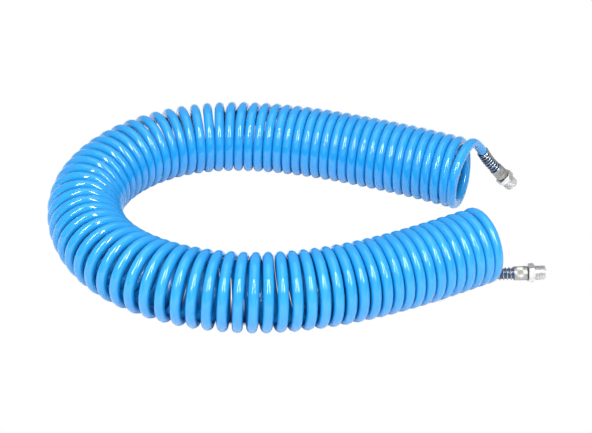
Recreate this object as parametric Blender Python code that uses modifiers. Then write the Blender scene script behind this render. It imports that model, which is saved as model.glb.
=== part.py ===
"""Coiled (recoil) air hose: a left-handed polyurethane coil lying in a U on a floor, with a
swivelling male-thread fitting and a wire bend guard on each end.

Metres, +Z up.  The origin is the middle of the footprint, on the floor.
Every moving piece is parented to an empty that stands on its joint's axis.
"""

import math

import bmesh
import bpy
import numpy as np
from mathutils import Matrix, Vector

MM = 0.001

# ---------------------------------------------------------------- driving dimensions, in millimetres
TUBE_R = 4.7625  # 9.525 x 6.35 mm (3/8 x 1/4 in) polyurethane tube
COIL_R = 35.0  # outside radius of the coil, 70 mm over the turns
COIL_WALL = 3.35  # wall that holds the same polyurethane as the wound tube
COIL_SIDES = 24
FLOOR_TO_AXIS = 35.0
ORIGIN = (-3.157, 14.393)  # middle of the footprint, in route coordinates

# Way-points of the coil's centreline on the floor plan, from the supply end round to the tool end.
ROUTE = (
    (166, 68), (120, 89), (72, 109), (18, 126), (-42, 137), (-102, 132), (-158, 103), (-196, 33),
    (-171, -51), (-113, -95), (-60, -107), (-6, -108), (49, -98), (103, -75), (166, -43),
)
COIL_FROM, COIL_TO = 2.6, 879.0  # stretch of the route that the wound turns fill
BACK_TO, BEND_TO = 300.0, 560.0  # where the back run ends and where the bend ends
SKIN_GAP = 0.3  # between solids that touch on the real hose

# Each end: nose of the thread, direction the fitting points, the route length and ring angle where the
# tail leaves the last turn, how far behind the nut it runs straight, and how strongly its bend follows
# each heading.
END_A = dict(
    nose=(215.4, 96.3, 3.9), way=(0.66, 0.04, -0.75), hex_turn=0.0,
    leave_run=3.7, leave_angle=85.0, pitch=9.7, straight=8.0, pull=(1.4, 0.8),
    plane_at=COIL_FROM - SKIN_GAP, sign=-1,
)
END_B = dict(
    nose=(224.9, -49.8, 8.9), way=(0.999, 0.0, 0.045), hex_turn=30.0,
    leave_run=883.8, leave_angle=200.0, pitch=9.6, straight=10.0, pull=(1.5, 1.4),
    plane_at=COIL_TO + SKIN_GAP, sign=1,
)

# Stations along a fitting, from the back of the nut (0) to the nose of the thread.
GUARD_OUT = 26.0  # bend guard standing out of the nut
GUARD_IN = 3.0
WIRE_R = 0.45
GUARD_R = 5.40  # to the middle of the wire
GUARD_PITCH = 3.4
NUT_LEN = 11.8
HOSE_END = 8.5
BARB_FROM = -4.0
HEX_FROM, HEX_TO = 12.7, 18.1
NOSE = 28.2
HEX_AF = 15.875  # 5/8 in across flats
THREAD_NOSE_R, THREAD_FOOT_R = 6.63, 6.92  # 1/4-18 NPT over the crests, tapering 1 in 16
THREAD_CHAMFER_R = 5.75
BORE_R = 2.0
SOCKET_R = 3.75
JOURNAL_R = 3.60
NOSE_BORE_R = 2.6
STEPS = 24


# ---------------------------------------------------------------- scene
for old in list(bpy.data.objects):
    bpy.data.objects.remove(old, do_unlink=True)

hose = bpy.data.collections.new("coiled_air_hose")
cutters = bpy.data.collections.new("cutters")
bpy.context.scene.collection.children.link(hose)
bpy.context.scene.collection.children.link(cutters)


def material(name, colour, roughness, metallic=0.0):
    made = bpy.data.materials.new(name)
    made.use_nodes = True
    shader = made.node_tree.nodes["Principled BSDF"]
    shader.inputs["Base Color"].default_value = (*colour, 1.0)
    shader.inputs["Roughness"].default_value = roughness
    shader.inputs["Metallic"].default_value = metallic
    made.diffuse_color = (*colour, 1.0)
    return made


POLYURETHANE = material("polyurethane_blue", (0.05, 0.38, 0.90), 0.22)
PLATED = material("nickel_plated_brass", (0.78, 0.78, 0.76), 0.25, 1.0)
SATIN = material("satin_aluminium", (0.62, 0.62, 0.60), 0.42, 1.0)
WIRE = material("spring_steel", (0.80, 0.81, 0.82), 0.20, 1.0)
SEAL = material("seal_rubber", (0.02, 0.02, 0.02), 0.6)
BRASS = material("brass", (0.72, 0.55, 0.25), 0.3, 1.0)
WASHER = material("acetal_black", (0.04, 0.04, 0.045), 0.5)


def keep(obj, stuff, parent=None):
    """Puts a finished sub-part in the object's collection, with its material."""
    for collection in list(obj.users_collection):
        collection.objects.unlink(obj)
    hose.objects.link(obj)
    obj.data.materials.clear()
    obj.data.materials.append(stuff)
    if parent is not None:
        obj.parent = parent
    return obj


def helper(obj, parent=None):
    """Makes an object a cutter, which isn't a sub-part."""
    for collection in list(obj.users_collection):
        collection.objects.unlink(obj)
    cutters.objects.link(obj)
    obj.hide_render = True
    obj.display_type = "WIRE"
    if parent is not None:
        obj.parent = parent
    return obj


def boolean(obj, cutter, operation="DIFFERENCE"):
    modifier = obj.modifiers.new(operation.lower() + "_" + cutter.name, "BOOLEAN")
    modifier.operation = operation
    modifier.solver = "EXACT"
    modifier.object = cutter
    return modifier


def smooth(obj, degrees=40):
    obj.data.shade_smooth()
    obj.data.set_sharp_from_angle(angle=math.radians(degrees))


# ---------------------------------------------------------------- routes
def smooth_curve(points, count):
    """A natural cubic spline through the way-points, read at equal steps of length: (points, lengths)."""
    points = np.asarray(points, float)
    knots = np.concatenate([[0.0], np.cumsum(np.linalg.norm(np.diff(points, axis=0), axis=1))])
    n, steps = len(points), np.diff(knots)
    left, right = np.eye(n), np.zeros_like(points)
    for i in range(1, n - 1):
        left[i, i - 1 : i + 2] = steps[i - 1], 2 * (steps[i - 1] + steps[i]), steps[i]
        right[i] = 6 * ((points[i + 1] - points[i]) / steps[i] - (points[i] - points[i - 1]) / steps[i - 1])
    bend = np.linalg.solve(left, right)
    u = np.linspace(0.0, knots[-1], 4001)
    k = np.clip(np.searchsorted(knots, u, side="right") - 1, 0, n - 2)
    a, b, h = (knots[k + 1] - u)[:, None], (u - knots[k])[:, None], steps[k][:, None]
    dense = (bend[k] * a**3 + bend[k + 1] * b**3) / (6 * h)
    dense += (points[k] / h - bend[k] * h / 6) * a + (points[k + 1] / h - bend[k + 1] * h / 6) * b
    run = np.concatenate([[0.0], np.cumsum(np.linalg.norm(np.diff(dense, axis=0), axis=1))])
    at = np.linspace(0.0, run[-1], count)
    return np.stack([np.interp(at, run, dense[:, i]) for i in range(points.shape[1])], axis=1), at


PLAN, PLAN_RUN = smooth_curve(ROUTE, 1801)


def plan_point(run):
    """(x, y) of the centreline, and its heading, at this length along it, straight on past its ends."""
    inside = min(max(run, 0.6), PLAN_RUN[-1] - 0.6)
    ahead = np.array([np.interp(inside + 0.6, PLAN_RUN, PLAN[:, i]) for i in range(2)])
    behind = np.array([np.interp(inside - 0.6, PLAN_RUN, PLAN[:, i]) for i in range(2)])
    heading = (ahead - behind) / np.linalg.norm(ahead - behind)
    spot = np.array([np.interp(inside, PLAN_RUN, PLAN[:, i]) for i in range(2)])
    return spot + heading * (run - inside), heading


def world(point):
    """Route coordinates in millimetres to metres from the origin."""
    return Vector(((point[0] - ORIGIN[0]) * MM, (point[1] - ORIGIN[1]) * MM, point[2] * MM))


def curve_object(name, points, radius, resolution, caps, tilt=0.0):
    data = bpy.data.curves.new(name, "CURVE")
    data.dimensions = "3D"
    data.twist_mode = "Z_UP"
    data.bevel_depth = radius * MM
    data.bevel_resolution = resolution
    data.use_fill_caps = caps
    spline = data.splines.new("POLY")
    spline.points.add(len(points) - 1)
    for control, point in zip(spline.points, points):
        control.co = (*point, 1.0)
        control.tilt = tilt
    made = bpy.data.objects.new(name, data)
    hose.objects.link(made)
    return made


def as_mesh(obj):
    """A curve made a mesh, with its caps welded on."""
    bpy.context.view_layer.update()
    graph = bpy.context.evaluated_depsgraph_get()
    data = bpy.data.meshes.new_from_object(obj.evaluated_get(graph))
    name, place = obj.name, obj.matrix_world.copy()
    bpy.data.objects.remove(obj, do_unlink=True)
    shape = bmesh.new()
    shape.from_mesh(data)
    bmesh.ops.remove_doubles(shape, verts=shape.verts, dist=1e-6)
    bmesh.ops.recalc_face_normals(shape, faces=shape.faces)
    shape.to_mesh(data)
    shape.free()
    made = bpy.data.objects.new(name, data)
    made.matrix_world = place
    hose.objects.link(made)
    return made


# ---------------------------------------------------------------- the wound turns
def coil_run(name, start, stop):
    """One run of the coil as the hollow outer shape of its turns, open at both ends like the coil."""
    over = 12.0
    count = round((stop - start + 2 * over) / 26.0) + 1
    runs = np.linspace(start - over, stop + over, count)
    line = [world((*plan_point(run)[0], FLOOR_TO_AXIS)) for run in runs]
    # A flat facet lies on the floor, so the polygon's flats are at the coil's radius.
    outer = COIL_R / math.cos(math.pi / COIL_SIDES)
    made = as_mesh(curve_object(name, line, outer, (COIL_SIDES - 4) // 2, False, math.pi / COIL_SIDES))
    # Both ends are cut square to the route, so that neighbouring runs meet face to face.
    shape = bmesh.new()
    shape.from_mesh(made.data)
    for run, sign in ((start, -1), (stop, 1)):
        spot, heading = plan_point(run)
        bmesh.ops.bisect_plane(
            shape, geom=shape.verts[:] + shape.edges[:] + shape.faces[:], dist=1e-7,
            plane_co=world((*spot, FLOOR_TO_AXIS)), plane_no=(sign * heading[0], sign * heading[1], 0.0),
            clear_outer=True,
        )
    shape.to_mesh(made.data)
    shape.free()
    wall = made.modifiers.new("wall", "SOLIDIFY")
    wall.thickness = COIL_WALL * MM
    wall.offset = -1.0
    wall.use_rim = True
    wall.use_even_offset = True
    keep(made, POLYURETHANE)
    smooth(made)
    return made


coil_run("hose_coil_back", COIL_FROM, BACK_TO - SKIN_GAP / 2)
coil_run("hose_coil_bend", BACK_TO + SKIN_GAP / 2, BEND_TO - SKIN_GAP / 2)
coil_run("hose_coil_front", BEND_TO + SKIN_GAP / 2, COIL_TO)


# ---------------------------------------------------------------- turned shapes
def turned(name, profile, parent, steps=STEPS):
    """A closed outline of (radius, station) pairs, outer side from the top down, turned about the parent's Z."""
    data = bpy.data.meshes.new(name)
    shape = bmesh.new()
    corners = [shape.verts.new((radius * MM, 0.0, station * MM)) for radius, station in profile]
    for first, second in zip(corners, corners[1:] + corners[:1]):
        shape.edges.new((first, second))
    shape.to_mesh(data)
    shape.free()
    made = bpy.data.objects.new(name, data)
    hose.objects.link(made)
    made.parent = parent
    screw = made.modifiers.new("turn", "SCREW")
    screw.axis = "Z"
    screw.angle = 2 * math.pi
    screw.steps = screw.render_steps = steps
    screw.use_merge_vertices = True
    screw.merge_threshold = 1e-5
    screw.use_smooth_shade = True
    return made


def frame_of(end):
    """World matrix of a fitting: +Z along it towards the nose, origin at the back of its nut."""
    way = Vector(end["way"]).normalized()
    nose = Vector(end["nose"])
    back = nose - way * NOSE
    turn = way.to_track_quat("Z", "Y").to_matrix().to_4x4()
    return Matrix.Translation(world(back)) @ turn


def leaving(end):
    """Where the tail leaves the last turn, and its heading there, which is along the winding."""
    spots = []
    for step in (0.0, 0.5 * end["sign"]):
        angle = math.radians(end["leave_angle"] + step)
        spot, heading = plan_point(end["leave_run"] + step / 360.0 * end["pitch"])
        outward = np.array((heading[1], -heading[0], 0.0))
        ring = (COIL_R - TUBE_R) * (math.cos(angle) * outward + math.sin(angle) * np.array((0.0, 0.0, 1.0)))
        spots.append(np.array((*spot, FLOOR_TO_AXIS)) + ring)
    return spots[0], (spots[1] - spots[0]) / np.linalg.norm(spots[1] - spots[0])


def tail_route(end):
    """The tail's centreline: it leaves the last turn, bends over, and runs straight into its nut."""
    way = np.array(Vector(end["way"]).normalized())
    back = np.array(end["nose"]) - way * NOSE
    straight = back - way * end["straight"]
    p0, t0 = leaving(end)
    reach = np.linalg.norm(straight - p0)
    pull_out, pull_in = end["pull"]
    t = np.linspace(0.0, 1.0, 80)[:, None]
    bend = (2 * t**3 - 3 * t**2 + 1) * p0 + (t**3 - 2 * t**2 + t) * t0 * reach * pull_out
    bend = bend + (3 * t**2 - 2 * t**3) * straight + (t**3 - t**2) * way * reach * pull_in
    rest = straight + np.linspace(0.4, end["straight"] + HOSE_END, 60)[:, None] * way
    return np.vstack([bend, rest])


def resample(points, step):
    run = np.concatenate([[0.0], np.cumsum(np.linalg.norm(np.diff(points, axis=0), axis=1))])
    at = np.linspace(0.0, run[-1], max(3, round(run[-1] / step) + 1))
    return np.stack([np.interp(at, run, points[:, i]) for i in range(3)], axis=1)


def box_beyond(name, end):
    """A block whose face is the coil's end plane, to trim what would reach into the coil."""
    spot, heading = plan_point(end["plane_at"])
    bpy.ops.mesh.primitive_cube_add(size=1.0)
    made = bpy.context.object
    made.name = name
    size = 0.12
    inward = Vector((-heading[0] * end["sign"], -heading[1] * end["sign"], 0.0))
    middle = world((*spot, FLOOR_TO_AXIS)) + inward * (size / 2)
    turn = Matrix.Rotation(math.atan2(heading[1], heading[0]), 4, "Z")
    made.matrix_world = Matrix.Translation(middle) @ turn
    made.data.transform(Matrix.Scale(size, 4))
    return helper(made)


def hexagon(name, low, high, turn, parent):
    """A hexagonal prism, turned this far about its axis."""
    bpy.ops.mesh.primitive_cylinder_add(
        vertices=6, radius=HEX_AF / math.sqrt(3) * MM, depth=(high - low) * MM
    )
    made = bpy.context.object
    made.name = name
    made.location = (0, 0, 0)
    made.data.transform(Matrix.Rotation(math.radians(turn), 4, "Z"))
    made.data.transform(Matrix.Translation((0, 0, (high + low) / 2 * MM)))
    helper(made, parent)
    return made


def fitting(tag, end):
    # The stem stays with the hose; the threaded body turns about the same axis on its own empty.
    stem_frame = bpy.data.objects.new("stem_frame_" + tag, None)
    stem_frame.matrix_world = frame_of(end)
    swivel_axis = bpy.data.objects.new("swivel_axis_" + tag, None)
    swivel_axis.matrix_world = frame_of(end)
    for empty in (stem_frame, swivel_axis):
        empty.empty_display_size = 0.01
        hose.objects.link(empty)

    # Hose tail, trimmed flush with the coil's end face and opened for the barb.
    route = tail_route(end)
    line = [world(point) for point in resample(route, 3.5)]
    tail = as_mesh(curve_object("hose_tail_" + tag, line, TUBE_R, 4, True))
    boolean(tail, box_beyond("coil_end_plane_" + tag, end))
    bore = turned(
        "barb_bore_" + tag,
        ((3.45, HOSE_END + 1.0), (3.45, BARB_FROM - 0.4), (0.0, BARB_FROM - 0.4), (0.0, HOSE_END + 1.0)),
        stem_frame, 16,
    )
    helper(bore)
    boolean(tail, bore)
    keep(tail, POLYURETHANE)
    smooth(tail)

    # Bend guard: a wire helix round the tail, close-wound at both ends and caught inside the nut.
    guard_line = route[np.argmin(np.linalg.norm(route - route[-1], axis=1)) :: -1]
    run = np.concatenate([[0.0], np.cumsum(np.linalg.norm(np.diff(guard_line, axis=0), axis=1))])
    first, last = HOSE_END - GUARD_IN + WIRE_R, HOSE_END + GUARD_OUT - WIRE_R
    turns, at, path = 0.0, first, []
    while at < last:
        close = at < first + 1.2 or at > last - 1.15
        path.append((at, turns))
        turns += 1 / 14
        at += (1.1 if close else GUARD_PITCH) / 14
    helix = []
    side = None
    for at, angle in path:
        spot = np.array([np.interp(at, run, guard_line[:, i]) for i in range(3)])
        ahead = np.array([np.interp(at + 0.5, run, guard_line[:, i]) for i in range(3)])
        way = (ahead - spot) / np.linalg.norm(ahead - spot)
        side = np.array([0.0, 1.0, 0.0]) if side is None else side
        side = side - way * (side @ way)
        side /= np.linalg.norm(side)
        other = np.cross(way, side)
        swing = 2 * math.pi * angle
        helix.append(world(spot + GUARD_R * (math.cos(swing) * side + math.sin(swing) * other)))
    guard = as_mesh(curve_object("bend_guard_spring_" + tag, helix, WIRE_R, 1, True))
    keep(guard, WIRE)
    smooth(guard, 60)

    # Clamp nut: a tapered sleeve whose pocket holds the guard and whose cone squeezes the grip ring.
    nut = turned(
        "clamp_nut_" + tag,
        (
            (6.4, NUT_LEN), (6.55, NUT_LEN - 0.3), (6.3, 0.3), (6.2, 0.0), (6.0, 0.0), (6.0, 3.4),
            (5.05, 3.4), (5.05, 4.6), (5.5, 4.6), (5.85, 8.3), (5.85, NUT_LEN),
        ),
        stem_frame,
    )
    keep(nut, SATIN)

    # Grip ring: a split cone between the nut and the hose.
    ring = turned("grip_ring_" + tag, ((5.6, 8.3), (5.25, 4.95), (4.95, 4.95), (4.95, 8.3)), stem_frame)
    slit = bpy.data.meshes.new("slit")
    shape = bmesh.new()
    bmesh.ops.create_cube(shape, size=1.0, matrix=Matrix.Translation((5 * MM, 0, 6.6 * MM)) @ Matrix.Diagonal((6 * MM, 0.9 * MM, 6 * MM, 1)))
    shape.to_mesh(slit)
    shape.free()
    slit_cutter = helper(bpy.data.objects.new("grip_slit_" + tag, slit), stem_frame)
    boolean(ring, slit_cutter)
    keep(ring, BRASS)

    # Barbed stem: barb in the hose, threaded collar under the nut, journal in the swivel body.
    stem = turned(
        "barb_stem_" + tag,
        (
            (3.3, 22.3), (JOURNAL_R, 22.0), (JOURNAL_R, 21.5), (2.8, 21.5), (2.8, 20.5), (JOURNAL_R, 20.5),
            (JOURNAL_R, 17.8), (2.5, 17.8), (2.5, 16.4), (JOURNAL_R, 16.4), (JOURNAL_R, 11.9), (5.55, 11.9),
            (5.55, 8.8), (2.75, 8.8), (2.75, 7.4), (3.15, 5.2), (2.75, 5.2), (2.75, 4.2), (3.15, 1.8),
            (2.75, 1.8), (2.75, 0.8), (3.15, -1.6), (2.6, BARB_FROM), (BORE_R, BARB_FROM), (BORE_R, 22.3),
        ),
        stem_frame,
    )
    keep(stem, BRASS)

    # Seal, thrust washer and the split ring that keeps the journal in.
    bpy.ops.mesh.primitive_torus_add(
        major_segments=24, minor_segments=8, major_radius=3.12 * MM, minor_radius=0.5 * MM
    )
    seal = bpy.context.object
    seal.name = "stem_o_ring_" + tag
    seal.data.transform(Matrix.Translation((0, 0, 17.1 * MM)))
    seal.data.shade_smooth()
    keep(seal, SEAL, stem_frame)

    washer = turned("thrust_washer_" + tag, ((5.75, 12.5), (5.75, 12.05), (3.75, 12.05), (3.75, 12.5)), stem_frame)
    keep(washer, WASHER)

    clip = turned("retaining_ring_" + tag, ((4.15, 21.35), (4.15, 20.65), (2.95, 20.65), (2.95, 21.35)), swivel_axis)
    gap = bpy.data.meshes.new("gap")
    shape = bmesh.new()
    bmesh.ops.create_cube(shape, size=1.0, matrix=Matrix.Translation((4 * MM, 0, 21 * MM)) @ Matrix.Diagonal((4 * MM, 2.6 * MM, 3 * MM, 1)))
    shape.to_mesh(gap)
    shape.free()
    gap_cutter = helper(bpy.data.objects.new("clip_gap_" + tag, gap), swivel_axis)
    boolean(clip, gap_cutter)
    keep(clip, WIRE)

    # Swivel body: hexagon and male thread in one, socket behind for the journal, bore and cone through the nose.
    body = turned(
        "swivel_body_" + tag,
        (
            (0.0, NOSE), (THREAD_CHAMFER_R, NOSE), (THREAD_NOSE_R, NOSE - 0.9), (THREAD_FOOT_R, HEX_TO - 0.6),
            (0.0, HEX_TO - 0.6),
        ),
        swivel_axis,
    )
    blank = hexagon("hex_blank_" + tag, HEX_FROM, HEX_TO, end["hex_turn"], swivel_axis)
    corner = HEX_AF / math.sqrt(3)
    chamfer = turned(
        "hex_chamfer_" + tag,
        (
            (0.0, NOSE + 2), (7.85, NOSE + 2), (7.85, HEX_TO), (corner + 0.3, HEX_TO - 0.9),
            (corner + 0.3, HEX_FROM + 0.9), (7.7, HEX_FROM), (0.0, HEX_FROM),
        ),
        swivel_axis, 48,
    )
    helper(chamfer)
    core = turned(
        "socket_" + tag,
        (
            (NOSE_BORE_R + 1.0, NOSE + 0.4), (NOSE_BORE_R, NOSE - 0.6), (NOSE_BORE_R, 22.6), (SOCKET_R, 22.6),
            (SOCKET_R, 21.6), (4.3, 21.6), (4.3, 20.4), (SOCKET_R, 20.4), (SOCKET_R, HEX_FROM - 1),
            (0.0, HEX_FROM - 1), (0.0, NOSE + 0.4),
        ),
        swivel_axis,
    )
    helper(core)
    boolean(body, blank, "UNION")
    boolean(body, chamfer, "INTERSECT")
    boolean(body, core)
    keep(body, PLATED)


fitting("a", END_A)
fitting("b", END_B)
bpy.context.view_layer.update()
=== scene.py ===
"""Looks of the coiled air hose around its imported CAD: one tube wound left-handed through the whole U,
with its bend guards, knurled clamp nuts and threaded swivel fittings.  Metres, +Z up, same frame as the CAD."""

import math

import bmesh
import bpy
import numpy as np
from mathutils import Matrix, Vector

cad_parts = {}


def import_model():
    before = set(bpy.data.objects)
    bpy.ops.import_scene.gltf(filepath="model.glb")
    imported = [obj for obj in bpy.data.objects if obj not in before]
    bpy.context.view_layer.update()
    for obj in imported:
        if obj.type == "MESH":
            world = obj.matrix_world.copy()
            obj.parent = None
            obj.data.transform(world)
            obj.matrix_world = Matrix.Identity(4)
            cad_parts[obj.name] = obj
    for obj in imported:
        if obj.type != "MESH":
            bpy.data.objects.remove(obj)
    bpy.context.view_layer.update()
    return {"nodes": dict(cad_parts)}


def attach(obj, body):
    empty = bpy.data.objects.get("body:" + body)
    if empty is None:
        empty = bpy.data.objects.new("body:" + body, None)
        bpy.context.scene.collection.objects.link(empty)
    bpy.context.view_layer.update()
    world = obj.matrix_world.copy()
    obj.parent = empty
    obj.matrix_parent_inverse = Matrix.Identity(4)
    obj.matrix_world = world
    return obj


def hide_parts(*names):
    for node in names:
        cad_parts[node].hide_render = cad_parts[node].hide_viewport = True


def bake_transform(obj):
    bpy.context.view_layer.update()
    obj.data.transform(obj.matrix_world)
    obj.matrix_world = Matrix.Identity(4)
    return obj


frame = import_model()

MM = 0.001

# ---------------------------------------------------------------- the same driving dimensions as part.py, in millimetres
TUBE_R = 4.7625
WIND_R = 30.2375  # from the coil's axis to the middle of the tube
AXIS_Z = 35.0
ORIGIN = np.array((-3.157, 14.393, 0.0))
# The CAD's way-points, eased by up to 2 mm so that the turns touch evenly on the inside of the bend.
ROUTE = (
    (166, 68.1), (120.6, 89), (72.4, 108.3), (17.1, 126.1), (-41.8, 136.9), (-101.4, 132.9), (-157.5, 103.4), (-195.4, 32.7),
    (-170.8, -51.4), (-112, -95.1), (-60, -108.6), (-6.1, -108.4), (48.5, -96.3), (102.5, -75.2), (166, -43.3),
)
END_A = dict(
    nose=(215.4, 96.3, 3.9), way=(0.66, 0.04, -0.75), hex_turn=0.0, straight=8.0, pull=(1.4, 0.8),
)
END_B = dict(
    nose=(224.9, -49.8, 8.9), way=(0.999, 0.0, 0.045), hex_turn=30.0, straight=10.0, pull=(1.5, 1.4),
)
GUARD_OUT, GUARD_IN, WIRE_R, GUARD_R, GUARD_PITCH = 26.0, 3.0, 0.52, 5.38, 3.4
NUT_LEN, HOSE_END = 11.8, 8.5
HEX_FROM, HEX_TO, NOSE, HEX_AF = 12.7, 18.1, 28.2, 15.875
THREAD_NOSE_R, THREAD_FOOT_R, THREAD_DEPTH, THREAD_PITCH = 6.63, 6.92, 0.98, 1.411
NOSE_BORE_R, SOCKET_R = 2.6, 3.75

# Winding: where the first and last turns cross the side that faces up and out, and the pitch between.
TURN_STEPS = 32
SIDES = 16
START_S, START_PHI = 5.3, 145.0
STOP_S, STOP_PHI = 879.8, 42.0
WHOLE_TURNS = 80
PITCH = ((0, 9.8), (60, 9.6), (120, 9.7), (180, 10.15), (240, 11.15), (300, 12.2), (360, 12.4), (420, 12.75),
         (480, 12.8), (540, 12.3), (600, 11.9), (660, 11.5), (720, 10.55), (780, 9.7), (830, 9.6), (884, 9.8))
INNER_PITCH = 9.1  # turns touch, slightly flattened, on the inside of the bend
LEAVE_A, LEAVE_B = 85.0, 200.0  # ring angle where each tail leaves its last turn
# How far the upper outer side of each turn leans along the route.
LEAN = ((0, -3.4), (110, -1.8), (230, 0.0), (330, -2.0), (380, -2.0), (425, 4.0), (465, 1.2), (515, 3.2),
        (570, 1.2), (600, -1.2), (720, -1.6), (884, -2.0))
LEAN_NIL = ((0, 145.0), (440, 99.0), (884, 43.0))  # ring angle where the lean is nil, degrees


# ---------------------------------------------------------------- route of the coil's axis
def smooth_curve(points, count):
    """A natural cubic spline through the way-points, read at equal steps of length: (points, lengths)."""
    points = np.asarray(points, float)
    knots = np.concatenate([[0.0], np.cumsum(np.linalg.norm(np.diff(points, axis=0), axis=1))])
    n, steps = len(points), np.diff(knots)
    left, right = np.eye(n), np.zeros_like(points)
    for i in range(1, n - 1):
        left[i, i - 1 : i + 2] = steps[i - 1], 2 * (steps[i - 1] + steps[i]), steps[i]
        right[i] = 6 * ((points[i + 1] - points[i]) / steps[i] - (points[i] - points[i - 1]) / steps[i - 1])
    bend = np.linalg.solve(left, right)
    u = np.linspace(0.0, knots[-1], 8001)
    k = np.clip(np.searchsorted(knots, u, side="right") - 1, 0, n - 2)
    a, b, h = (knots[k + 1] - u)[:, None], (u - knots[k])[:, None], steps[k][:, None]
    dense = (bend[k] * a**3 + bend[k + 1] * b**3) / (6 * h)
    dense += (points[k] / h - bend[k] * h / 6) * a + (points[k + 1] / h - bend[k + 1] * h / 6) * b
    run = np.concatenate([[0.0], np.cumsum(np.linalg.norm(np.diff(dense, axis=0), axis=1))])
    at = np.linspace(0.0, run[-1], count)
    return np.stack([np.interp(at, run, dense[:, i]) for i in range(points.shape[1])], axis=1), at


PLAN, PLAN_RUN = smooth_curve(ROUTE, 6001)
LENGTH = PLAN_RUN[-1]


def plan(runs):
    """Centreline points and headings at these lengths along the route, straight on past its ends."""
    runs = np.atleast_1d(np.asarray(runs, float))
    inside = np.clip(runs, 1.0, LENGTH - 1.0)
    read = lambda at: np.stack([np.interp(at, PLAN_RUN, PLAN[:, i]) for i in range(2)], axis=1)
    heading = read(inside + 1.0) - read(inside - 1.0)
    heading /= np.linalg.norm(heading, axis=1)[:, None]
    spot = read(inside) + heading * (runs - inside)[:, None]
    zero = np.zeros((len(runs), 1))
    return np.hstack([spot, zero + AXIS_Z]), np.hstack([heading, zero])


def eased(x):
    x = np.clip(x, 0.0, 1.0)
    return x * x * (3 - 2 * x)


def smooth_table(table, at, width=24.0):
    """A table of (run, value) stations read with its corners rounded off."""
    table = np.array(table, float)
    offsets = np.linspace(-1, 1, 9)
    weights = np.cos(offsets * math.pi / 2) ** 2 + 1e-9
    read = sum(w * np.interp(at + o * width, table[:, 0], table[:, 1]) for o, w in zip(offsets, weights))
    return read / weights.sum()


# Ring angle along the route: it grows by a turn each pitch, and the pitches are scaled to meet both ends' angles.
RUNS = np.linspace(-20.0, LENGTH + 20.0, 20001)
swing = np.unwrap(np.arctan2(*plan(RUNS)[1][:, 1::-1].T))
spread = 60.0
curl = np.abs(np.interp(RUNS + spread / 2, RUNS, swing) - np.interp(RUNS - spread / 2, RUNS, swing)) / spread
RATE = 360.0 / np.maximum(smooth_table(PITCH, RUNS), INNER_PITCH / (1 - WIND_R * curl))
ANGLE = np.concatenate([[0.0], np.cumsum((RATE[1:] + RATE[:-1]) / 2 * np.diff(RUNS))])
ANGLE -= np.interp(START_S, RUNS, ANGLE)
ANGLE *= (STOP_PHI + 360.0 * WHOLE_TURNS - START_PHI) / np.interp(STOP_S, RUNS, ANGLE)
ANGLE += START_PHI


def winding(angles):
    """Tube centreline points at these ring angles, in degrees, and their lengths along the route."""
    runs = np.interp(angles, ANGLE, RUNS)
    spot, heading = plan(runs)
    out = np.cross(heading, (0.0, 0.0, 1.0))
    turn = np.radians(angles)
    ends = eased((angles - angles[0]) / 400.0) * eased((angles[-1] - angles) / 400.0) if len(angles) > 50 else 0.0
    from_nil = turn - np.radians(np.interp(runs, *np.array(LEAN_NIL).T))
    lean = smooth_table(LEAN, runs) * np.sin(from_nil) * ends
    point = spot + WIND_R * (np.cos(turn)[:, None] * out + np.sin(turn)[:, None] * np.array((0, 0, 1.0)))
    return point + heading * lean[:, None], runs


def unit(v):
    v = np.asarray(v, float)
    return v / np.linalg.norm(v)


def tail(end, leave, heading):
    """Tail's centreline from the last turn to the end of the tube in its nut, in route millimetres."""
    way = unit(end["way"])
    back = np.array(end["nose"]) - way * NOSE
    straight = back - way * end["straight"]
    reach = np.linalg.norm(straight - leave)
    pull_out, pull_in = end["pull"]
    t = np.linspace(0.0, 1.0, 160)[:, None]
    bend = (2 * t**3 - 3 * t**2 + 1) * leave + (t**3 - 2 * t**2 + t) * heading * reach * pull_out
    bend = bend + (3 * t**2 - 2 * t**3) * straight + (t**3 - t**2) * way * reach * pull_in
    rest = straight + np.linspace(0.2, end["straight"] + HOSE_END, 60)[:, None] * way
    return np.vstack([bend, rest])


def resample(points, step):
    run = np.concatenate([[0.0], np.cumsum(np.linalg.norm(np.diff(points, axis=0), axis=1))])
    at = np.linspace(0.0, run[-1], max(3, round(run[-1] / step) + 1))
    return np.stack([np.interp(at, run, points[:, i]) for i in range(3)], axis=1)


first, last = LEAVE_A, WHOLE_TURNS * 360.0 + LEAVE_B
angles = np.linspace(first, last, int(round((last - first) / 360.0 * TURN_STEPS)) + 1)
coil_points, coil_runs = winding(angles)
start_heading = unit(coil_points[0] - coil_points[1])
stop_heading = unit(coil_points[-1] - coil_points[-2])
TAIL_A = tail(END_A, coil_points[0], start_heading)
TAIL_B = tail(END_B, coil_points[-1], stop_heading)
print("leave A", coil_points[0].round(1), "B", coil_points[-1].round(1), "turns", (last - first) / 360)


def world(points):
    """Route millimetres to metres in the part's frame."""
    return (np.asarray(points, float) - ORIGIN) * MM


rest_a = resample(TAIL_A, 1.6)[::-1]
rest_b = resample(TAIL_B, 1.6)
path = np.vstack([rest_a[:-1], coil_points, rest_b[1:]])
path_runs = np.concatenate([np.full(len(rest_a) - 1, -50.0), coil_runs, np.full(len(rest_b) - 1, LENGTH + 50.0)])
HOSE_PATH = world(path)
HOSE_LENGTH = float(np.linalg.norm(np.diff(HOSE_PATH, axis=0), axis=1).sum())


# ---------------------------------------------------------------- camera and studio
scene = bpy.context.scene
scene.view_settings.view_transform = "Standard"
camera = bpy.data.objects.new("camera", bpy.data.cameras.new("camera"))
camera.data.sensor_width = 36.0
camera.data.lens = 78.19
camera.data.clip_start = 0.05
camera.data.clip_end = 50.0
camera.location = world((0.0, -959.6, 732.2))
camera.rotation_euler = (math.radians(54.0), 0.0, 0.0)
scene.collection.objects.link(camera)
scene.camera = camera


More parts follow.
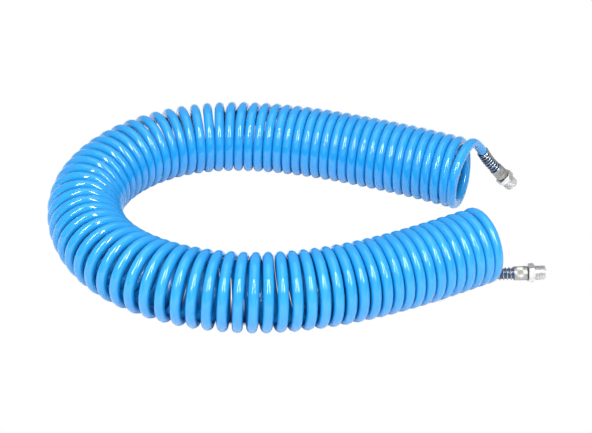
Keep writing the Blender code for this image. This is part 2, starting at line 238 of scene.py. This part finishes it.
def area_light(name, target, azimuth, elevation, distance, size, power, colour=(1, 1, 1)):
    """A softbox at this azimuth (0 is the camera's side, + to the right) and elevation, facing the target."""
    data = bpy.data.lights.new(name, "AREA")
    data.shape = "RECTANGLE"
    data.size, data.size_y = size
    data.energy = power
    data.color = colour
    light = bpy.data.objects.new(name, data)
    a, e = math.radians(azimuth), math.radians(elevation)
    way = Vector((math.sin(a) * math.cos(e), -math.cos(a) * math.cos(e), math.sin(e)))
    light.location = Vector(target) + way * distance
    light.rotation_euler = way.to_track_quat("Z", "Y").to_euler()
    scene.collection.objects.link(light)
    return light


AIM = (0.0, 0.0, 0.03)
area_light("strip_left", AIM, -29, 49, 1.9, (0.17, 1.35), 27)
area_light("strip_right", AIM, 29, 49, 1.9, (0.17, 1.35), 27)
area_light("front_low", AIM, 0, 14, 1.9, (1.8, 0.8), 2.2)
area_light("overhead", AIM, 180, 80, 1.7, (1.8, 1.4), 9)

sky = bpy.data.worlds.new("studio")
scene.world = sky
sky.use_nodes = True
sky.node_tree.nodes["Background"].inputs["Color"].default_value = (1.0, 1.0, 1.0, 1.0)
sky.node_tree.nodes["Background"].inputs["Strength"].default_value = 0.46
# The backdrop itself is a blown-out white sheet, brighter than the light it throws on the hose.
backdrop = sky.node_tree.nodes.new("ShaderNodeBackground")
backdrop.inputs["Strength"].default_value = 1.0
seen = sky.node_tree.nodes.new("ShaderNodeLightPath")
either = sky.node_tree.nodes.new("ShaderNodeMixShader")
sky.node_tree.links.new(seen.outputs["Is Camera Ray"], either.inputs[0])
sky.node_tree.links.new(sky.node_tree.nodes["Background"].outputs[0], either.inputs[1])
sky.node_tree.links.new(backdrop.outputs[0], either.inputs[2])
sky.node_tree.links.new(either.outputs[0], sky.node_tree.nodes["World Output"].inputs["Surface"])


# ---------------------------------------------------------------- materials
class Material:
    """A node material under construction: a Principled shader, and a short way to add nodes and links."""

    def __init__(self, name, colour, roughness, metallic=0.0):
        self.data = bpy.data.materials.new(name)
        self.data.use_nodes = True
        self.tree = self.data.node_tree
        self.shader = self.tree.nodes["Principled BSDF"]
        self.set(**{"Base Color": (*colour, 1.0), "Roughness": roughness, "Metallic": metallic})
        self.data.diffuse_color = (*colour, 1.0)

    def set(self, **values):
        for socket, value in values.items():
            self.shader.inputs[socket].default_value = value

    def node(self, kind, inputs=None, **settings):
        made = self.tree.nodes.new("ShaderNode" + kind)
        for name, value in settings.items():
            setattr(made, name, value)
        for socket, value in (inputs or {}).items():
            if isinstance(value, bpy.types.NodeSocket):
                self.tree.links.new(value, made.inputs[socket])
            else:
                made.inputs[socket].default_value = value
        return made

    def link(self, value, socket):
        self.tree.links.new(value, self.shader.inputs[socket])

    def noise(self, vector, scale, detail=3.0, roughness=0.55):
        return self.node("TexNoise", {"Vector": vector, "Scale": scale, "Detail": detail, "Roughness": roughness}).outputs["Fac"]

    def span(self, value, low, high, to_low, to_high):
        return self.node("MapRange", {"Value": value, "From Min": low, "From Max": high, "To Min": to_low, "To Max": to_high}).outputs["Result"]

    def mix(self, factor, first, second):
        made = self.node("Mix", data_type="RGBA")
        self.tree.links.new(factor, made.inputs[0])
        for socket, value in ((6, first), (7, second)):
            if isinstance(value, bpy.types.NodeSocket):
                self.tree.links.new(value, made.inputs[socket])
            else:
                made.inputs[socket].default_value = (*value, 1.0)
        return made.outputs[2]

    def bump(self, height, strength, distance, after=None):
        made = self.node("Bump", {"Height": height, "Strength": strength, "Distance": distance})
        if after is not None:
            self.tree.links.new(after, made.inputs["Normal"])
        return made.outputs["Normal"]


def place(material):
    return material.node("TexCoord").outputs["Object"]


def stretched(material, vector, scale):
    return material.node("Mapping", {"Vector": vector, "Scale": scale}).outputs["Vector"]


# Polyurethane: extruded and glossy; the deep blue in the gaps between turns is partly the painted dark-blue shadow on
# the floor beneath the coil.
PU = Material("polyurethane_blue", (0.013, 0.270, 0.610), 0.11)
PU.set(**{"IOR": 1.52, "Coat Weight": 0.3, "Coat Roughness": 0.05})
along = PU.node("UVMap", uv_map="tube").outputs["UV"]
spot = place(PU)
lines = PU.noise(stretched(PU, along, (42.0, 0.35, 1.0)), 1.0, 2.0)  # die lines run along the tube
cloud = PU.noise(spot, 24.0, 2.0)
speck = PU.noise(spot, 900.0, 2.0)
blue = PU.mix(PU.span(cloud, 0.3, 0.7, 0.0, 1.0), (0.009, 0.246, 0.600), (0.014, 0.270, 0.635))
# Painted shade: inside the bend guards the tube's colour is darkened to near-black navy, standing in for the shade
# between the guard's wires.
metres = PU.node("SeparateXYZ", {"Vector": along}).outputs["Y"]
from_end = PU.node("Math", {0: metres, 1: PU.node("Math", {0: HOSE_LENGTH, 1: metres}, operation="SUBTRACT").outputs[0]}, operation="MINIMUM").outputs[0]
guard_shade = PU.span(from_end, 0.0338, 0.0352, 0.85, 0.0)
PU.link(PU.mix(guard_shade, blue, (0.004, 0.016, 0.06)), "Base Color")
PU.link(PU.span(lines, 0.3, 0.7, 0.08, 0.14), "Roughness")
PU.link(PU.bump(speck, 0.06, 0.0002, PU.bump(lines, 0.12, 0.00012)), "Normal")


def metal(name, dark, light, roughness, grain, scale=(1.0, 1.0, 1.0), bump=0.08):
    """Machined metal: colour, gloss and a fine relief all follow a stretched grain and larger soft stains."""
    made = Material(name, light, roughness, 1.0)
    spot = place(made)
    fine = made.noise(stretched(made, spot, scale), grain, 4.0)
    broad = made.noise(spot, 160.0, 2.0)
    made.link(made.mix(made.span(broad, 0.25, 0.75, 0.0, 1.0), dark, light), "Base Color")
    made.link(made.span(fine, 0.2, 0.8, roughness * 0.75, roughness * 1.3), "Roughness")
    made.link(made.bump(fine, bump, 0.0001), "Normal")
    return made


PLATED = metal("nickel_plate", (0.64, 0.64, 0.64), (0.74, 0.74, 0.74), 0.32, 1500.0)
SATIN = metal("satin_nickel", (0.30, 0.30, 0.29), (0.44, 0.44, 0.43), 0.46, 2600.0)
WIRE = metal("spring_wire", (0.36, 0.36, 0.36), (0.52, 0.52, 0.52), 0.20, 1800.0)
BRASS = metal("machined_brass", (0.55, 0.40, 0.16), (0.74, 0.57, 0.27), 0.28, 1800.0)
SEAL = Material("seal_rubber", (0.015, 0.015, 0.016), 0.55)
SEAL.link(SEAL.bump(SEAL.noise(place(SEAL), 3000.0), 0.15, 0.0001), "Normal")
SEAL.link(SEAL.span(SEAL.noise(place(SEAL), 700.0), 0.3, 0.7, 0.45, 0.68), "Roughness")
ACETAL = Material("black_acetal", (0.020, 0.020, 0.022), 0.42)
ACETAL.link(ACETAL.bump(ACETAL.noise(place(ACETAL), 2200.0), 0.10, 0.0001), "Normal")
ACETAL.link(ACETAL.span(ACETAL.noise(place(ACETAL), 500.0), 0.3, 0.7, 0.34, 0.52), "Roughness")


# ---------------------------------------------------------------- meshes
def frames_along(points, start=(0.0, 0.0, 1.0)):
    """Two cross directions at each point, carried along the line without twisting."""
    ahead = np.gradient(points, axis=0)
    ahead /= np.linalg.norm(ahead, axis=1)[:, None]
    side = np.array(start, float)
    sides = np.empty_like(points)
    for i, way in enumerate(ahead):
        side = side - way * (side @ way)
        side /= np.linalg.norm(side)
        sides[i] = side
    return sides, np.cross(ahead, sides)


def new_mesh(name, points, faces, material, sharp=None):
    data = bpy.data.meshes.new(name)
    data.from_pydata([tuple(p) for p in points], [], [tuple(f) for f in faces])
    data.materials.append(material.data)
    data.shade_smooth()
    if sharp is not None:
        data.set_sharp_from_angle(angle=math.radians(sharp))
    made = bpy.data.objects.new(name, data)
    scene.collection.objects.link(made)
    return made


def grid_faces(rows, columns, wrap_rows=False):
    """Quads over rows of closed rings, facing out when the rings turn anticlockwise seen from the last row."""
    i = np.arange(rows if wrap_rows else rows - 1)[:, None]
    j = np.arange(columns)[None, :]
    following, beside = (i + 1) % rows, (j + 1) % columns
    quads = np.stack([i * columns + j, i * columns + beside, following * columns + beside, following * columns + j], axis=-1)
    return quads.reshape(-1, 4)


def tube(name, line, radius, sides, material, start=(0.0, 0.0, 1.0), round_ends=0.0):
    """A round tube or wire along a line in metres, closed at both ends, with a UV map of (round, metres along)."""
    line = np.asarray(line, float)
    across, up = frames_along(line, start)
    run = np.concatenate([[0.0], np.cumsum(np.linalg.norm(np.diff(line, axis=0), axis=1))])
    radii = np.full(len(line), radius)
    if round_ends:
        near = np.minimum(run, run[-1] - run)
        radii = radius * np.sqrt(np.clip(1 - (1 - np.clip(near / round_ends, 0, 1)) ** 2, 0.04, 1))
    turn = np.arange(sides) / sides * 2 * math.pi
    ring = np.cos(turn)[None, :, None] * across[:, None, :] + np.sin(turn)[None, :, None] * up[:, None, :]
    points = (line[:, None, :] + radii[:, None, None] * ring).reshape(-1, 3)
    faces = [list(f) for f in grid_faces(len(line), sides)]
    faces.append(list(range(sides))[::-1])
    faces.append([(len(line) - 1) * sides + k for k in range(sides)])
    made = new_mesh(name, points, faces, material, 50)
    layer = made.data.uv_layers.new(name="tube")
    loops = np.empty(len(made.data.loops), np.int32)
    made.data.loops.foreach_get("vertex_index", loops)
    u, v = (loops % sides) / sides, run[loops // sides]
    # The seam's last column reads 1 and not 0.
    for face in made.data.polygons:
        if len(face.vertices) == 4:
            span = np.array(face.loop_indices)
            if u[span].max() - u[span].min() > 0.5:
                u[span] = np.where(u[span] < 0.25, u[span] + 1.0, u[span])
    layer.data.foreach_set("uv", np.stack([u, v], axis=1).astype(np.float32).ravel())
    return made


# ---------------------------------------------------------------- the hose, one tube from nut to nut
hose = tube("hose_tube", HOSE_PATH, TUBE_R * MM, SIDES, PU)
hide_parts("hose_coil_back", "hose_coil_bend", "hose_coil_front", "hose_tail_a", "hose_tail_b")
print("hose length", round(HOSE_LENGTH, 3), "points", len(path))


# ---------------------------------------------------------------- fittings
def fitting_frame(end):
    """+Z along the fitting towards its nose, origin at the back of its nut."""
    way = Vector(end["way"]).normalized()
    back = np.array(end["nose"]) - np.array(way) * NOSE
    return Matrix.Translation(world(back)) @ way.to_track_quat("Z", "Y").to_matrix().to_4x4()


def turned(name, rows, columns, material, frame_of, sharp=25, closed=True):
    """A solid from rings: each row is (station, radius at each of the columns' angles), in millimetres."""
    turn = np.arange(columns) / columns * 2 * math.pi
    points = []
    for station, radius in rows:
        radius = np.broadcast_to(radius, turn.shape)
        station = np.broadcast_to(station, turn.shape)
        points.append(np.stack([radius * np.cos(turn), radius * np.sin(turn), station], axis=1))
    points = np.vstack(points) * MM
    made = new_mesh(name, points, grid_faces(len(rows), columns, closed), material, sharp)
    made.data.transform(frame_of)
    made.data.update()
    return made


def guard_helix(end, route):
    """The bend guard's wire: it winds round the tube on the outside of the nut, close-wound at both ends."""
    line = route[::-1]
    run = np.concatenate([[0.0], np.cumsum(np.linalg.norm(np.diff(line, axis=0), axis=1))])
    start, stop = HOSE_END - GUARD_IN + WIRE_R, HOSE_END + GUARD_OUT - WIRE_R
    steps = 36
    at, angle, found = start, 0.0, []
    side = np.array([0.0, 1.0, 0.0])
    while at < stop:
        spot = np.array([np.interp(at, run, line[:, i]) for i in range(3)])
        ahead = np.array([np.interp(at + 0.5, run, line[:, i]) for i in range(3)])
        way = unit(ahead - spot)
        side = unit(side - way * (side @ way))
        found.append(spot + GUARD_R * (math.cos(angle) * side + math.sin(angle) * np.cross(way, side)))
        pitch = 1.10 + (GUARD_PITCH - 1.10) * eased((at - start - 0.9) / 1.6) * eased((stop - 0.8 - at) / 1.6)
        at += pitch / steps
        angle += 2 * math.pi / steps
    return np.array(found)


def hexagon_radius(turn, across, rounding=0.25):
    """Radius of a hexagon of this width at each angle, flats at +Y and -Y when the turn is nil."""
    step = math.pi / 3
    local = np.abs((turn % step) - step / 2)
    flat = across / 2 / np.cos(local)
    corner = across / math.sqrt(3) - rounding
    return -np.log(np.exp(-flat * 6) + np.exp(-corner * 6)) / 6


def make_fitting(tag, end, route, body, swivel):
    place_at = fitting_frame(end)
    guard = tube("guard_wire_" + tag, world(guard_helix(end, route)), WIRE_R * MM, 12, WIRE, (1.0, 0.0, 0.0), WIRE_R * MM)
    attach(guard, body)
    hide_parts("bend_guard_spring_" + tag)

    # Clamp nut: tapered sleeve with a fine straight knurl, a plain collar, and a dark open mouth for the guard.
    columns = 168
    turn = np.arange(columns) / columns * 2 * math.pi
    teeth = 0.5 - 0.5 * np.cos(turn * 42)
    knurl = lambda depth: -depth * (1 - teeth**0.7)
    rows = [
        (0.0, 6.02), (0.0, 6.12), (0.1, 6.20), (0.5, 6.26), (1.2, 6.30), (1.5, 6.31),
        (1.8, 6.32 + knurl(0.10)), (2.2, 6.33 + knurl(0.26)), (3.0, 6.35 + knurl(0.30)), (5.0, 6.39 + knurl(0.30)), (7.3, 6.44 + knurl(0.30)),
        (7.9, 6.46 + knurl(0.26)), (8.3, 6.47 + knurl(0.10)), (8.55, 6.48), (8.7, 6.38), (8.9, 6.36), (9.05, 6.38), (9.2, 6.50),
        (11.1, 6.53), (11.5, 6.52), (11.72, 6.44), (11.8, 6.32), (11.8, 5.9), (11.7, 5.86), (8.3, 5.85),
        (4.6, 5.50), (4.55, 5.08), (3.45, 5.08), (3.4, 6.0), (0.1, 6.01),
    ]
    nut = turned("clamp_sleeve_" + tag, rows, columns, SATIN, place_at, 35)
    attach(nut, body)
    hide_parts("clamp_nut_" + tag)

    # Swivel body: chamfered hexagon, relief, helical thread with rounded crests, chamfered nose and coned bore.
    columns = 144
    turn = np.arange(columns) / columns * 2 * math.pi
    shape = hexagon_radius(turn - math.radians(end["hex_turn"]) + math.pi / 6, HEX_AF)
    bevel = lambda reach: np.minimum(shape, reach)
    corner = HEX_AF / math.sqrt(3)
    rows = [(HEX_FROM, 3.9), (HEX_FROM, 5.5), (HEX_FROM, 7.70), (HEX_FROM + 0.06, bevel(7.82))]
    rows += [(HEX_FROM + 0.06 + 0.9 * k / 8, bevel(7.82 + 1.5 * k / 8)) for k in range(1, 9)]
    rows += [(HEX_FROM + z, bevel(corner + 0.4)) for z in (1.5, 2.7, 3.9)]
    rows += [(HEX_TO - 0.06 - 0.9 * k / 8, bevel(7.82 + 1.5 * k / 8)) for k in range(8, 0, -1)]
    rows += [(HEX_TO - 0.06, bevel(7.82)), (HEX_TO, 7.70), (HEX_TO, 6.9), (HEX_TO, 6.35), (HEX_TO + 0.05, 6.12)]
    start, stop = HEX_TO + 0.1, NOSE
    for station in np.arange(start + 0.06, stop - 0.01, 0.065):
        # The crest follows the taper; the helix runs out into the hexagon and is chamfered at the nose.
        crest = THREAD_FOOT_R + (THREAD_NOSE_R - THREAD_FOOT_R) * (station - HEX_TO) / (NOSE - HEX_TO)
        root = crest - THREAD_DEPTH
        phase = ((station / THREAD_PITCH - turn / (2 * math.pi)) % 1.0) - 0.5
        tooth = np.clip(1.12 - 2.35 * np.abs(phase), 0.0, 1.0)
        tooth = tooth * tooth * (3 - 2 * tooth) * 0.35 + tooth * 0.65
        fade = eased((station - start) / 0.9)
        rows.append((station, np.minimum(root + THREAD_DEPTH * tooth * fade, 5.72 + max(stop - station, 0.0) * 1.1)))
    rows += [(NOSE, 5.68), (NOSE, 4.6), (NOSE, 3.25), (NOSE - 0.1, 3.12), (NOSE - 0.6, 2.62), (NOSE - 0.8, 2.6),
             (22.6, 2.6), (22.6, SOCKET_R), (21.6, SOCKET_R), (21.6, 4.3), (20.4, 4.3), (20.4, SOCKET_R), (13.0, SOCKET_R), (12.75, 3.8)]
    screw = turned("swivel_thread_" + tag, rows, columns, PLATED, place_at, 28)
    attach(screw, swivel)
    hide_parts("swivel_body_" + tag)
    return guard, nut, screw


guard_a, nut_a, screw_a = make_fitting("a", END_A, TAIL_A, "hose", "supply_swivel")
guard_b, nut_b, screw_b = make_fitting("b", END_B, TAIL_B, "tool_end", "tool_swivel")

nodes = frame["nodes"]
for tag in "ab":
    for name, material in (
        ("grip_ring_", BRASS), ("barb_stem_", BRASS), ("stem_o_ring_", SEAL), ("thrust_washer_", ACETAL), ("retaining_ring_", WIRE),
    ):
        node = nodes[name + tag]
        node.data.materials.clear()
        node.data.materials.append(material.data)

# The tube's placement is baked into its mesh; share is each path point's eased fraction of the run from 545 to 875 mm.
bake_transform(hose)
share = (path_runs - 545.0) / (875.0 - 545.0)
share = np.clip(share, 0.0, 1.0)
rise = 0.18
share = np.where(share < rise, share**2 / (2 * rise), share - rise / 2) / (1 - rise / 2)


# ---------------------------------------------------------------- floor
# A sheet with close-set points round the hose, where they carry a painted-shadow mask for the strip that lies beneath
# the turns.
xs = np.concatenate([[-6.0, -0.5], np.linspace(-0.28, 0.28, 225), [0.5, 6.0]])
ys = np.concatenate([[-6.0, -0.5], np.linspace(-0.21, 0.21, 169), [0.5, 6.0]])
corners = np.stack([*np.meshgrid(xs, ys, indexing="ij"), np.zeros((len(xs), len(ys)))], axis=-1).reshape(-1, 3)
i, j = np.meshgrid(np.arange(len(xs) - 1), np.arange(len(ys) - 1), indexing="ij")
low = (i * len(ys) + j).ravel()
floor_data = bpy.data.meshes.new("floor")
floor_data.from_pydata(corners.tolist(), [], np.stack([low, low + len(ys), low + len(ys) + 1, low + 1], axis=1).tolist())
axis_line = world(plan(np.linspace(70.0, LENGTH - 75.0, 300))[0])[:, :2]
near = np.full(len(corners), 9.0)
back = np.zeros(len(corners))
for spot in axis_line:
    apart = corners[:, :2] - spot
    gap = np.linalg.norm(apart, axis=1)
    closer = gap < near
    near[closer], back[closer] = gap[closer], apart[closer, 1]
# Painted shadow mask: 1 on the floor within about 30 mm of the coil's axis, on its +Y side, away from the camera.
under_coil_shade = eased((0.033 - near) / 0.004) * eased((back + 0.003) / 0.004)
floor_data.attributes.new("under_coil_shade", "FLOAT", "POINT").data.foreach_set("value", under_coil_shade.astype(np.float32))
floor = bpy.data.objects.new("floor", floor_data)
floor.location.z = -0.0004
scene.collection.objects.link(floor)
PAPER = Material("white_paper_with_painted_shadow", (0.80, 0.80, 0.80), 0.6)
PAPER.set(**{"Specular IOR Level": 0.2})
PAPER.link(PAPER.bump(PAPER.noise(place(PAPER), 60.0), 0.02, 0.001), "Normal")
# The painted shadow is kept only where ambient occlusion shows the floor hemmed in by the turns.
closed = PAPER.span(PAPER.node("AmbientOcclusion", {"Distance": 0.06}).outputs["AO"], 0.24, 0.58, 1.0, 0.0)
shade = PAPER.node("Math", {0: PAPER.node("Attribute", attribute_name="under_coil_shade").outputs["Fac"], 1: closed}, operation="MULTIPLY").outputs[0]
# Painted shadow: there the floor's colour turns dark blue and its white glow for the camera is taken away.
PAPER.link(PAPER.mix(shade, (0.80, 0.80, 0.80), (0.01, 0.09, 0.36)), "Base Color")
# The camera sees the open sheet blown out to white.
glow = PAPER.node("Emission", {"Strength": 1.0})
white = PAPER.node("Math", {0: PAPER.span(shade, 0.0, 1.0, 1.0, 0.0), 1: PAPER.node("LightPath").outputs["Is Camera Ray"]}, operation="MULTIPLY").outputs[0]
sheet = PAPER.node("MixShader", {0: white, 1: PAPER.shader.outputs[0], 2: glow.outputs[0]})
PAPER.tree.links.new(sheet.outputs[0], PAPER.tree.nodes["Material Output"].inputs["Surface"])
floor.data.materials.append(PAPER.data)
